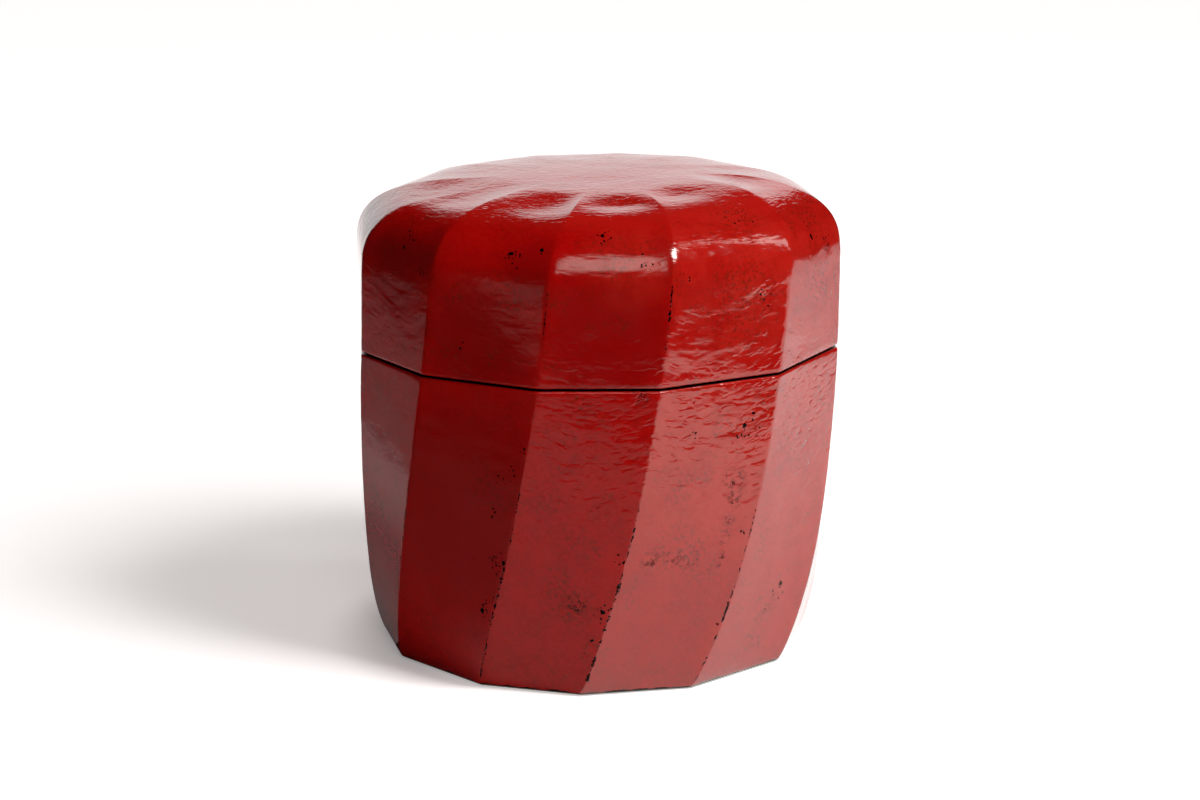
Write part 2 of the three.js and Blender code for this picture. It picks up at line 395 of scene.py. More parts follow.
# Height of each kind of relief in the red coat.
HAMMERED_RELIEF = 0.04 * MM
HAIR_RELIEF = 0.005 * MM
GRAIN_RELIEF = 0.003 * MM
STROKE_RELIEF = 0.007 * MM
CRATER_RELIEF = 0.03 * MM
BARE_RELIEF = 0.004 * MM
CRACKLE_RELIEF = 0.01 * MM
# Clouds, brush marks and grain of the black coat.
BLACK_CLOUD_SIZE = 8 * MM
BLACK_GLOSS_SIZE = 3 * MM
BLACK_BRUSH_SIZE = 3.5 * MM
BLACK_BRUSH_RELIEF = 0.03 * MM
BLACK_GRAIN_SIZE = 0.7 * MM
BLACK_GRAIN_RELIEF = 0.004 * MM

# Floor and surroundings.
WHITE = (1, 1, 1, 1)
WORLD_LIGHT = 0.09
FLOOR_HALF_WIDTH = 2.0
FLOOR_COLOUR = (0.95, 0.915, 0.9, 1)
FLOOR_LIFT_COLOUR = (1, 0.94, 0.925, 1)
# Two distances between which the floor's lift to white grows, and its strength at each; then the same
# for what is taken away from it near the foot, and only on the left, as a painted contact shadow.
FLOOR_LIFT = (0.09, 0.30, 0.49, 0.91)
FLOOR_SHADOW_NEAR_FOOT = (0.03, 0.042, 0.5, 0.0)
FLOOR_SHADOW_LEFT = (-0.03, -0.01, 1.0, 0.0)

# Share of a lamp over which its edges fade.
SOFT_EDGE = 0.35
# Lamps: place, aim, width, height, radiance.
LAMPS = {
    "key": ((0.2424, -0.1794, 0.3836), (0, 0, 0.03), 0.14, 0.18, 28.0),
    "front_box": ((0.066, -0.627, 0.52), (0, 0, 0.06), 0.16, 0.42, 2.9),
    "side_box": ((0.380, 0.016, 0.315), (0, 0, 0.06), 0.06, 0.28, 4.4),
}

# Stops of the standing cards: bearing in degrees from straight in front round to the right, distance,
# height where the card sets in, height where it is full.
LOW_STOPS = [
    (-85, 0.115, 0, 0.001),
    (-70, 0.11, 0, 0.012),
    (-50, 0.11, 0, 0.014),
    (-20, 0.15, 0, 0.012),
    (20, 0.16, 0, 0.012),
    (40, 0.16, 0.005, 0.018),
    (60, 0.16, 0.004, 0.015),
    (85, 0.29, 0.008, 0.025),
    (130, 0.42, 0, 0.015),
    (160, 0.5, 0, 0.015),
]
LEFT_STOPS = [(-134, 0.135, 0, 0.001), (-110, 0.125, 0, 0.001), (-85, 0.125, 0, 0.001)]
SHADE_STOPS = [(-134, 0.13, 0.028, 0.04), (-110, 0.12, 0.028, 0.04), (-85, 0.12, 0.028, 0.04)]
PATCH_STOPS = [(-43, 0.1, 0.034, 0.041), (-33, 0.105, 0.034, 0.041)]
ROOM_STOPS = [(angle, 0.95, 0, 0.001) for angle in range(-135, 166, 5)]
# Shade of the dark cards.
DARK = 0.01
# Standing cards: name, stops, height, shade, and whether the card also keeps soft light off.
STANDING_CARDS = [
    ("low_card", LOW_STOPS, 0.07, DARK, False),
    ("left_card", LEFT_STOPS, 0.07, 0.26, False),
    ("left_shade", SHADE_STOPS, 0.1, DARK, True),
    ("patch_card", PATCH_STOPS, 0.062, 0.3, False),
    ("room", ROOM_STOPS, 0.8, DARK, False),
]
# Card overhead: its height and half width, and rows of a place from front to back and the cover there.
CEILING_HEIGHT = 0.8
CEILING_HALF_WIDTH = 1.5
CEILING_ROWS = [(-1, 1), (1.6, 1), (1.9, 0.5), (2.3, 0)]
# Lying cards: name, near and far arc with first bearing, last bearing and distance, shade, cover at
# points along the arcs, and height above the floor.
ARC_POINTS = 9
FULL_COVER = [1.0] * ARC_POINTS
FADING_COVER = [0, 0, 0.1, 0.25, 0.45, 0.65, 0.85, 1, 1]
LOW_MAT = 0.4 * MM
HIGH_MAT = 0.6 * MM
LYING_CARDS = [
    ("dark_mat", (-72, -29, 0.028), (-85, -30, 0.22), 0.06, FULL_COVER, LOW_MAT),
    ("middle_mat", (-66, -29, 0.028), (-70, -30, 0.22), 0.27, FADING_COVER, HIGH_MAT),
    ("front_mat", (-29, -7, 0.028), (-30, 14, 0.17), 0.34, FULL_COVER, LOW_MAT),
    ("left_mat", (-145, -72, 0.028), (-145, -85, 0.17), 0.58, [0.85] * ARC_POINTS, LOW_MAT),
    ("back_mat", (125, 170, 0.15), (125, 170, 0.62), 0.85, [0.7] * ARC_POINTS, LOW_MAT),
    ("side_mat", (78, 125, 0.2), (78, 125, 0.62), 0.5, [0.35] * ARC_POINTS, LOW_MAT),
]

# Camera, for an image of 1200 by 800.
CAMERA_PLACE = Vector((0, -0.455, 0.1464))
CAMERA_AIM = Vector((0, 0, 0.035))
CAMERA_LENS = 95.45
CAMERA_SENSOR = 36
CAMERA_NEAR = 0.01
CAMERA_SHIFT = (0.0032, 0.0016)


def side_curve():
    """Heights and ridge radii along the side, from the base to the shoulder."""
    t = np.linspace(0, 1, SIDE_CURVE_POINTS)[:, None]
    ends = [
        (BASE_RADIUS, 0),
        (BASE_RADIUS + BASE_FLARE_OUT, BASE_FLARE_UP),
        (SHOULDER_RADIUS, SHOULDER - SIDE_EASE),
        (SHOULDER_RADIUS, SHOULDER),
    ]
    weights = np.hstack([(1 - t) ** 3, 3 * t * (1 - t) ** 2, 3 * t**2 * (1 - t), t**3])
    curve = weights @ np.array(ends)
    return curve[:, 1], curve[:, 0]


SIDE_HEIGHTS, SIDE_RADII = side_curve()


def side_radius(z):
    """Ridge radius of the side at a height."""
    return np.interp(z, SIDE_HEIGHTS, SIDE_RADII)


LID_BORE = side_radius(SEAM) * FACET_SHARE - LID_WALL
RIM_INNER = RIM_OUTER - RIM_THICKNESS
REBATE = RIM_OUTER + GLUE_LINE


def hollow_radius(z):
    """Inner radius of the body at a height."""
    return side_radius(z) * FACET_SHARE - BODY_WALL


def spread(first, last, step):
    """Evenly spaced values from first to last, no further apart than step."""
    return np.linspace(first, last, max(2, math.ceil(abs(last - first) / step) + 1))


def edge_inset(distance, edge):
    """How far a rounded edge draws the surface in, at a distance from the edge."""
    rise = np.clip(1 - distance / edge, 0, 1)
    return edge * (1 - np.sqrt(1 - rise**2))


def edge_heights(edge):
    """Distances from a rounded edge at which its rings lie."""
    return edge * (1 - np.cos(np.linspace(0, math.pi / 2, EDGE_ROWS)))


def eased(values, first, last):
    """Zero before first, one after last, with a smooth rise between them."""
    t = np.clip((values - first) / (last - first), 0, 1)
    return t * t * (3 - 2 * t)


def ridge_angles(heights, inward):
    """Angles of the ridges from +X, in radians, at heights and distances in from the shoulder."""
    z = heights[:, None]
    climb = z / TOP
    turn = TWIST_DEG * (2 * climb - TWIST_SLACKENING * climb**2) / (2 - TWIST_SLACKENING)
    index = np.arange(FACETS)
    start = FIRST_RIDGE_DEG + index * 360 / FACETS + RIDGE_DRIFT_DEG
    lean = RIDGE_LEAN_DEG * (z - SEAM) / TOP
    wobble = np.empty((len(heights), FACETS))
    for row, i in np.ndindex(wobble.shape):
        along = heights[row] / RIDGE_WOBBLE_LENGTH
        wobble[row, i] = noise.noise((along, RIDGE_WOBBLE_APART * i, 0))
    swirl = CROWN_SWIRL_DEG * inward[:, None] / MM
    return np.radians(start + turn + lean + swirl) + wobble * RIDGE_WOBBLE / SHOULDER_RADIUS


def column_shares():
    """Places of a facet's columns between its two ridges, closer together at the ridges."""
    u = np.arange(COLUMNS_PER_FACET) / COLUMNS_PER_FACET
    return u - RIDGE_CROWDING * np.sin(2 * np.pi * u) / (2 * np.pi)


def facet_rings(radii, heights, softness, inward):
    """Rings of the faceted skin with softened ridges, and each point's distance to its ridge."""
    angles = ridge_angles(heights, inward)
    wrapped = np.hstack([angles[:, -1:] - 2 * np.pi, angles, angles[:, :2] + 2 * np.pi])
    share = column_shares()
    soft = (softness * radii)[:, None]
    rings = []
    to_ridge = []
    for i in range(1, FACETS + 1):
        span = wrapped[:, i + 1] - wrapped[:, i]
        theta = wrapped[:, i : i + 1] + span[:, None] * share
        reaches = []
        for k in (i - 1, i, i + 1):
            middle = (wrapped[:, k] + wrapped[:, k + 1])[:, None] / 2
            half = (wrapped[:, k + 1] - wrapped[:, k])[:, None] / 2
            reaches.append(radii[:, None] * np.cos(half) / np.cos(theta - middle))
        least = np.min(reaches, axis=0)
        radius = least - soft * np.log(sum(np.exp((least - reach) / soft) for reach in reaches))
        rings.append(np.stack([radius * np.cos(theta), radius * np.sin(theta)], axis=-1))
        to_ridge.append(np.minimum(share, 1 - share) * span[:, None] * radii[:, None])
    flat = np.concatenate(rings, axis=1)
    level = np.broadcast_to(heights[:, None, None], flat.shape[:2] + (1,))
    return np.concatenate([flat, level], axis=2), np.concatenate(to_ridge, axis=1)


def round_rings(profile, like):
    """Round rings through (radius, height) pairs, with their columns at the angles of a faceted ring."""
    angle = np.arctan2(like[:, 1], like[:, 0])
    rings = [np.stack([r * np.cos(angle), r * np.sin(angle), np.full(len(angle), z)], axis=-1)
             for r, z in profile]
    return np.array(rings)


def ring_normals(rings):
    """Outward normals of a stack of rings, from the neighbouring points."""
    across = np.roll(rings, -1, axis=1) - np.roll(rings, 1, axis=1)
    along = np.gradient(rings, axis=0)
    normal = np.cross(across, along)
    return normal / np.maximum(np.linalg.norm(normal, axis=2, keepdims=True), 1e-12)


def by_column(values):
    """A value for each facet, repeated for its columns."""
    return np.repeat(values, COLUMNS_PER_FACET)


def scooped(rings, radii):
    """Rings lowered between the ridges where the facets end on the crown."""
    side = np.tile(2 * column_shares() - 1, FACETS)
    skew = by_column(SCOOP_SKEW)
    depth = by_column(SCOOP_DEPTHS) * (1 - side**2) * (1 + skew * side)
    inside = by_column(SCOOP_RADII) - radii[:, None]
    inner = by_column(SCOOP_INNER_RADII)
    flat = by_column(SCOOP_FLAT_RADII)
    along = eased(inside, 0, SCOOP_SLOPE) * eased(radii[:, None], inner, flat)
    lowered = by_column(RIDGE_DEPTHS) * (1 - side) / 2
    lowered += by_column(np.roll(RIDGE_DEPTHS, -1)) * (1 + side) / 2
    inmost, flattest, outmost = RIDGE_DEPTH_RADII
    span = eased(outmost - radii, 0, SCOOP_SLOPE) * eased(radii, inmost, flattest)
    hollow = rings.copy()
    hollow[:, :, 2] -= along * depth + span[:, None] * lowered
    return hollow


def bulged(rings, heights):
    """Rings swollen between the ridges at the shoulder."""
    side = np.tile(2 * column_shares() - 1, FACETS)
    skew = by_column(SHOULDER_BULGE_SKEW)
    across = by_column(SHOULDER_BULGES) * (1 - side**2) * (1 + skew * side)
    swollen = eased(heights, *SHOULDER_BULGE_RISE)[:, None] * across
    reach = np.linalg.norm(rings[:, :, :2], axis=2)
    round_out = rings.copy()
    fading = np.clip(reach / SHOULDER_RADIUS, 0, 1) ** SHOULDER_BULGE_FADE
    round_out[:, :, :2] *= (1 + swollen / reach * fading)[:, :, None]
    return round_out


def uneven(rings, weight):
    """Rings moved along their normals by the slow swell and the brushed ripple of the lacquer."""
    rippled = eased(rings[:, :, 2].mean(axis=1), *RIPPLE_RISE)
    rippled = RIPPLE_LEAST + (1 - RIPPLE_LEAST) * rippled
    heights = np.empty(rings.shape[:2])
    for place in np.ndindex(heights.shape):
        x, y, z = rings[place]
        swell = noise.noise((x / SWELL_LENGTH, y / SWELL_LENGTH, z / SWELL_LENGTH))
        ripple = noise.noise((x / RIPPLE_LENGTH, y / RIPPLE_LENGTH, z * RIPPLE_STRETCH / RIPPLE_LENGTH))
        heights[place] = SWELL_HEIGHT * swell + RIPPLE_HEIGHT * ripple * rippled[place[0]]
    return rings + ring_normals(rings) * (heights * weight[:, None])[:, :, None]


def wear_of(heights):
    """Strength of the wear at each point of the skin's rings."""
    wear = np.zeros((len(heights), COLUMNS))
    half = COLUMNS_PER_FACET // 2
    for ridge, low, high, strength in WORN_STRETCHES:
        rise = np.clip((heights - low * MM) / WEAR_FADE, 0, 1)
        fall = np.clip((high * MM - heights) / WEAR_FADE, 0, 1)
        middle = ridge * COLUMNS_PER_FACET
        near = np.arange(middle - half, middle + half) % COLUMNS
        wear[:, near] = np.maximum(wear[:, near], (rise * fall * strength)[:, None])
    return wear


def marked(skin, places):
    """Strength of the marks around the listed places, at each point of the skin's rings."""
    across = by_column(np.arange(FACETS)) + np.tile(column_shares(), FACETS)
    heights = skin[:, :, 2].mean(axis=1)
    strength = np.zeros(skin.shape[:2])
    for facet, share, height, reach in places:
        if heights.min() < height * MM < heights.max():
            row = np.argmin(np.abs(heights - height * MM))
            column = np.argmin(np.abs(across - facet - share))
            distance = np.linalg.norm(skin - skin[row, column], axis=2)
            marks = 1 - eased(distance, MARK_CORE * reach * MM, reach * MM)
            strength = np.maximum(strength, marks * (np.floor(across) == facet))
    return strength


def ring_faces(rows, columns):
    """Four-sided faces between neighbouring rings, row by row."""
    column = np.arange(columns)
    after = (column + 1) % columns
    low = (np.arange(rows - 1) * columns)[:, None]
    high = low + columns
    return np.stack([low + column, low + after, high + after, high + column], axis=2).reshape(-1, 4)


def new_object(name, data):
    """Object in the scene."""
    made = bpy.data.objects.new(name, data)
    bpy.context.scene.collection.objects.link(made)
    return made


def new_piece(name, points, faces):
    """Smooth-shaded object from points and faces, with its corners kept sharp."""
    mesh = bpy.data.meshes.new(name)
    mesh.from_pydata(points.tolist(), [], [list(face) for face in faces])
    mesh.polygons.foreach_set("use_smooth", [True] * len(mesh.polygons))
    mesh.set_sharp_from_angle(angle=math.radians(SHARP_CORNER_DEG))
    mesh.update()
    return new_object(name, mesh)


def store(piece, label, values):
    """Keep one number for each point of a mesh, for its material."""
    attribute = piece.data.attributes.new(label, "FLOAT", "POINT")
    attribute.data.foreach_set("value", np.asarray(values, np.float32))


def on_all_rings(values, rows, first, elsewhere):
    """Values of the skin, which begins at the given ring, with another value at all other points."""
    full = np.full((rows, COLUMNS), elsewhere)
    full[first : first + len(values)] = values
    return np.append(full.ravel(), [elsewhere] * 2)


def shell(name, below, skin, to_ridge, above, crowned):
    """Closed piece from the rings before the skin, the skin and the rings after it."""
    parts = [part for part in (below, skin, above) if len(part)]
    rings = np.concatenate(parts)
    rows = len(rings)
    first, last = len(below), len(below) + len(skin)
    ends = [rings[0].mean(axis=0), rings[-1].mean(axis=0)]
    points = np.vstack([rings.reshape(-1, 3), ends])
    column = np.arange(COLUMNS)
    after = (column + 1) % COLUMNS
    top = (rows - 1) * COLUMNS
    start = np.stack([np.full(COLUMNS, rows * COLUMNS), after, column], axis=1)
    finish = np.stack([np.full(COLUMNS, rows * COLUMNS + 1), top + column, top + after], axis=1)
    faces = ring_faces(rows, COLUMNS).tolist() + start.tolist() + finish.tolist()
    piece = new_piece(name, points, faces)
    row = np.arange(rows - 1)
    black = np.where((row >= first) & (row < last - 1 + crowned), 0, 1)
    caps = np.repeat([1, 1 - crowned], COLUMNS)
    slots = np.concatenate([np.repeat(black, COLUMNS), caps])
    piece.data.polygons.foreach_set("material_index", slots.astype(np.int32))
    store(piece, "ridge_mm", on_all_rings(to_ridge / MM, rows, first, NO_RIDGE_MM))
    wear = wear_of(skin[:, :, 2].mean(axis=1))
    store(piece, "wear", on_all_rings(wear, rows, first, 0.0))
    for label, places in MARKS.items():
        store(piece, label, on_all_rings(marked(skin, places), rows, first, 0.0))
    return piece


def foot_profile():
    """Underside of the body from the middle outward: the recess and its bevel."""
    inner = FOOT_RECESS_RADIUS - FOOT_RECESS
    flat = [(r, FOOT_RECESS) for r in np.linspace(INNERMOST_RING, inner, HOLLOW_ROWS)]
    return flat + [(FOOT_RECESS_RADIUS, 0)]


def hollow_profile():
    """Inside of the body from the mouth down to the middle of the floor."""
    rebate_floor = RIM_BOTTOM - GLUE_LINE
    wall_foot = FLOOR_THICKNESS + BODY_CAVITY_ROUND
    mouth = [(REBATE, BODY_TOP), (REBATE, rebate_floor)]
    wall = [(hollow_radius(z), z) for z in np.linspace(rebate_floor, wall_foot, HOLLOW_ROWS)]
    start = np.array([hollow_radius(wall_foot), wall_foot])
    knee = np.array([hollow_radius(FLOOR_THICKNESS), FLOOR_THICKNESS])
    end = knee - np.array([BODY_CAVITY_ROUND, 0])
    steps = np.linspace(0, 1, ARC_ROWS)[1:]
    corner = [tuple((1 - t) ** 2 * start + 2 * t * (1 - t) * knee + t**2 * end) for t in steps]
    floor = [(r, FLOOR_THICKNESS) for r in np.linspace(end[0], INNERMOST_RING, HOLLOW_ROWS)[1:]]
    return mouth + wall + corner + floor


def make_body():
    """Lower cup with its faceted outside, hollow and recessed foot."""
    foot = edge_heights(BASE_ROUND)[:-1]
    wall = spread(BASE_ROUND, BODY_TOP - BODY_LIP_ROUND, ROW_STEP)
    lip = (BODY_TOP - edge_heights(BODY_LIP_ROUND))[::-1][1:]
    heights = np.concatenate([foot, wall, lip])
    inset = edge_inset(heights, BASE_ROUND) + edge_inset(BODY_TOP - heights, BODY_LIP_ROUND)
    softness = np.full(len(heights), BODY_RIDGE_SOFTNESS)
    inward = np.zeros(len(heights))
    skin, to_ridge = facet_rings(side_radius(heights) - inset, heights, softness, inward)
    weight = np.clip(heights / FOOT_CALM, 0, 1) * np.clip((BODY_TOP - heights) / LIP_CALM, 0, 1)
    skin = uneven(skin, weight)
    skin[:, :, 0] += (FOOT_SHIFT * np.clip(1 - heights / FOOT_SHIFT_HEIGHT, 0, 1) ** 2)[:, None]
    below = round_rings(foot_profile(), skin[0])
    above = round_rings(hollow_profile(), skin[-1])
    return shell("body_lacquered", below, skin, to_ridge, above, 0)


def lid_hollow_profile():
    """Inside of the lid from the middle of the ceiling down to the lip."""
    ceiling = TOP - CROWN_THICKNESS
    straight = RIM_TOP + RIM_CLEARANCE
    bend = min(LID_CAVITY_ROUND, ceiling - straight)
    middle = LID_BORE - bend
    flat = [(r, ceiling) for r in np.linspace(INNERMOST_RING, middle, HOLLOW_ROWS)[:-1]]
    turn = np.linspace(math.pi / 2, 0, ARC_ROWS)
    corner = [(middle + bend * math.cos(a), ceiling - bend + bend * math.sin(a)) for a in turn]
    wall = [(LID_BORE, z) for z in np.linspace(ceiling - bend, LID_BOTTOM, HOLLOW_ROWS)[1:]]
    return flat + corner + wall


def crown_curve():
    """Radii and heights over the crown, from the shoulder to near the middle."""
    t = np.linspace(0, math.pi / 2, CROWN_CURVE_POINTS)
    radius = SHOULDER_RADIUS * np.cos(t) ** (2 / CROWN_SQUARENESS)
    height = SHOULDER + CROWN_HEIGHT * np.sin(t) ** (2 / CROWN_FULLNESS)
    length = np.concatenate([[0], np.cumsum(np.hypot(np.diff(radius), np.diff(height)))])
    inner = np.interp(INNERMOST_RING, radius[::-1], length[::-1])
    stops = spread(0, inner, ROW_STEP)[1:]
    return np.interp(stops, length, radius), np.interp(stops, length, height)


def lean_crown(rings):
    """Crown raised a little at the right and lowered at the left, as the hand-cut one is."""
    rise = np.clip((rings[:, :, 2] - SHOULDER - CROWN_LEAN_START) / CROWN_LEAN_RISE, 0, 1)
    leaning = rings.copy()
    leaning[:, :, 2] += CROWN_LEAN * rise * rings[:, :, 0] / SHOULDER_RADIUS
    return leaning


def make_lid():
    """Lid with its faceted side, shoulder, crown and hollow."""
    lip = (LID_BOTTOM + edge_heights(LIP_ROUND))[:-1]
    sides = np.concatenate([lip, spread(LID_BOTTOM + LIP_ROUND, SHOULDER, ROW_STEP)])
    side_radii = side_radius(sides) - edge_inset(sides - LID_BOTTOM, LIP_ROUND)
    crown_radii, crown_heights = crown_curve()
    radii = np.concatenate([side_radii, crown_radii])
    heights = np.concatenate([sides, crown_heights])
    faded = 1 - eased(radii, *CROWN_RIDGE_FADE)
    shouldered = eased(heights, *SHOULDER_RIDGE_RISE)
    softness = LID_RIDGE_SOFTNESS + (SHOULDER_RIDGE_SOFTNESS - LID_RIDGE_SOFTNESS) * shouldered
    softness += (CROWN_RIDGE_SOFTNESS - SHOULDER_RIDGE_SOFTNESS) * faded
    inward = np.concatenate([np.zeros(len(sides)), SHOULDER_RADIUS - crown_radii])
    skin, to_ridge = facet_rings(radii, heights, softness, inward)
    weight = np.clip((heights - LID_BOTTOM) / LIP_CALM, 0, 1)
    skin = lean_crown(uneven(scooped(bulged(skin, heights), radii), weight))
    below = round_rings(lid_hollow_profile(), skin[0])
    return shell("lid_lacquered", below, skin, to_ridge, [], 1)


def rim_profile():
    """Section of the standing ring: outer side, rounded top and inner side."""
    sides = np.linspace(RIM_BOTTOM, RIM_TOP - RIM_EDGE, HOLLOW_ROWS)[:-1]
    turn = np.linspace(0, math.pi / 2, EDGE_ROWS)
    insets = [RIM_EDGE * (1 - math.cos(a)) for a in turn]
    levels = [RIM_TOP - RIM_EDGE * (1 - math.sin(a)) for a in turn]
    outer = [(RIM_OUTER, z) for z in sides]
    outer += [(RIM_OUTER - inset, z) for inset, z in zip(insets, levels)]
    inner = [(RIM_INNER, z) for z in sides]
    inner += [(RIM_INNER + inset, z) for inset, z in zip(insets, levels)]
    return outer + inner[::-1]


def make_rim():
    """Standing ring in the mouth of the body."""
    angle = np.linspace(0, 2 * np.pi, RIM_COLUMNS, endpoint=False)
    like = np.stack([np.cos(angle), np.sin(angle)], axis=-1)
    profile = rim_profile()
    rings = round_rings(profile + profile[:1], like)
    rows = len(profile)
    faces = ring_faces(rows + 1, RIM_COLUMNS) % (rows * RIM_COLUMNS)
    return new_piece("rim_lacquered", rings[:-1].reshape(-1, 3), faces.tolist())


def add(tree, kind, inputs=None, **settings):
    """New node with its settings, and its inputs set to numbers or linked to sockets."""
    made = tree.nodes.new(kind)
    for key, value in settings.items():
        setattr(made, key, value)
    for key, value in (inputs or {}).items():
        if isinstance(value, bpy.types.NodeSocket):
            tree.links.new(value, made.inputs[key])
        else:
            made.inputs[key].default_value = value
    return made


def math_node(operation, tree, *values):
    """Output of a math node on numbers or sockets."""
    return add(tree, "ShaderNodeMath", dict(enumerate(values)), operation=operation).outputs[0]


times = partial(math_node, "MULTIPLY")
plus = partial(math_node, "ADD")
minus = partial(math_node, "SUBTRACT")
larger = partial(math_node, "MAXIMUM")
smaller = partial(math_node, "MINIMUM")


def ramp(tree, value, low, high, first=0.0, last=1.0):
    """Value eased from first to last as it goes from low to high."""
    inputs = {"Value": value, "From Min": low, "From Max": high, "To Min": first, "To Max": last}
    return add(tree, "ShaderNodeMapRange", inputs, interpolation_type="SMOOTHSTEP").outputs[0]


def blend(tree, share, first, second):
    """Colour between two colours."""
    made = add(tree, "ShaderNodeMix", {0: share, 6: first, 7: second}, data_type="RGBA")
    return made.outputs[2]


def grain(tree, place, size, detail=2.0, rough=0.5, warp=0.0):
    """Noise whose spots are about the given size in metres."""
    inputs = {"Vector": place, "Scale": 1 / size, "Detail": detail}
    inputs.update({"Roughness": rough, "Distortion": warp})
    return add(tree, "ShaderNodeTexNoise", inputs).outputs[0]


def stretched(tree, place, scale):
    """Coordinates scaled along each axis."""
    return add(tree, "ShaderNodeVectorMath", {0: place, 1: scale}, operation="MULTIPLY").outputs[0]


def height_of(tree, place):
    """Height part of coordinates."""
    return add(tree, "ShaderNodeSeparateXYZ", {0: place}).outputs[2]


def new_material(name):
    """Empty node material with its shader."""
    material = bpy.data.materials.new(name)
    material.use_nodes = True
    tree = material.node_tree
    return material, tree, tree.nodes["Principled BSDF"]


def attribute(tree, label):
    """Number stored on the mesh."""
    return add(tree, "ShaderNodeAttribute", attribute_name=label).outputs["Fac"]


def speck_mask(tree, place, cell, sparse, dense, size):
    """Scattered black specks of uneven outline, gathered in the specked places."""
    inputs = {"Vector": place, "Scale": 1 / SPECK_BEND_SIZE, "Detail": 2.0}
    bend = add(tree, "ShaderNodeTexNoise", inputs)
    shift = stretched(tree, bend.outputs["Color"], (SPECK_BEND,) * 3)
    bent = add(tree, "ShaderNodeVectorMath", {0: place, 1: shift}, operation="ADD").outputs[0]
    cells = add(tree, "ShaderNodeTexVoronoi", {"Vector": bent, "Scale": 1 / cell})
    chance = add(tree, "ShaderNodeSeparateColor", {0: cells.outputs["Color"]}).outputs[0]
    clouds = grain(tree, place, SPECK_CLOUD_SIZE)
    spread_out = ramp(tree, clouds, 0.5, 0.75, sparse, SPECK_CLOUD_CHANCE)
    gathered = ramp(tree, attribute(tree, "specked"), 0.0, 0.7, 1.0, dense)
    over = minus(tree, chance, smaller(tree, spread_out, gathered))
    reach = smaller(tree, times(tree, over, SPECK_GROWTH), size)
    return ramp(tree, minus(tree, reach, cells.outputs["Distance"]), 0.0, SPECK_EDGE)


def wear_and_foot_shade_mask(tree, place):
    """Black undercoat showing in ragged dashes along the worn ridges, and a black band round the foot
    that is partly worn rim and partly painted contact shade.
    """
    dashes = minus(tree, grain(tree, place, DASH_SIZE, 3.0, 0.6), DASH_LEVEL)
    ragged = minus(tree, grain(tree, place, RAGGED_SIZE, 2.0), 0.5)
    width = plus(tree, times(tree, dashes, DASH_WIDTH), times(tree, ragged, RAGGED_WIDTH))
    reach = times(tree, width, attribute(tree, "wear"))
    ridges = ramp(tree, minus(tree, reach, attribute(tree, "ridge_mm")), *WEAR_EDGE)
    # The black band round the foot: partly worn rim, partly painted contact shade.
    outline = times(tree, grain(tree, place, FOOT_WEAR_AND_SHADE_SIZE, 3.0), FOOT_WEAR_AND_SHADE_RAGGED)
    foot = plus(tree, height_of(tree, place), outline)
    return larger(tree, ridges, ramp(tree, foot, *FOOT_WEAR_AND_SHADE_END, 1.0, 0.0))


def mottle_mask(tree, place):
    """Brown mottling where the red coat is thin."""
    patch = ramp(tree, grain(tree, place, MOTTLE_PATCH_SIZE, 2.0), 0.48, 0.72, 0.08, 1.0)
    calm = ramp(tree, attribute(tree, "smoothed"), 0.0, 0.8, 1.0, 0.0)
    patch = larger(tree, times(tree, patch, calm), attribute(tree, "browned"))
    fine = ramp(tree, grain(tree, place, MOTTLE_SIZE, 3.0, 0.6), 0.49, 0.62)
    return times(tree, patch, fine)


def crackle_mask(tree, place):
    """Fine wrinkled lines in the crackled places."""
    bent = stretched(tree, place, (1.0, 1.0, 1.4))
    lines = grain(tree, bent, CRACKLE_SIZE, 2.0, 0.5, 1.5)
    from_line = math_node("ABSOLUTE", tree, minus(tree, lines, 0.5))
    thin = ramp(tree, from_line, 0.02, 0.06, 1.0, 0.0)
    broken = ramp(tree, grain(tree, place, CRACKLE_BREAK_SIZE, 2.0), 0.42, 0.55)
    return times(tree, attribute(tree, "crackled"), times(tree, thin, broken))


def brush_place(tree, place, closeness):
    """Coordinates that run round the box, and up its side or in over its crown at a closer scale."""
    flat = stretched(tree, place, (1.0, 1.0, 0.0))
    reach = add(tree, "ShaderNodeVectorMath", {0: flat}, operation="LENGTH").outputs["Value"]
    size = math_node("DIVIDE", tree, SHOULDER_RADIUS, larger(tree, reach, BRUSH_LEAST_RADIUS))
    turn = add(tree, "ShaderNodeVectorMath", {0: flat, "Scale": size}, operation="SCALE").outputs[0]
    along = times(tree, minus(tree, height_of(tree, place), reach), closeness)
    rise = add(tree, "ShaderNodeCombineXYZ", {2: along}).outputs[0]
    return add(tree, "ShaderNodeVectorMath", {0: turn, 1: rise}, operation="ADD").outputs[0]


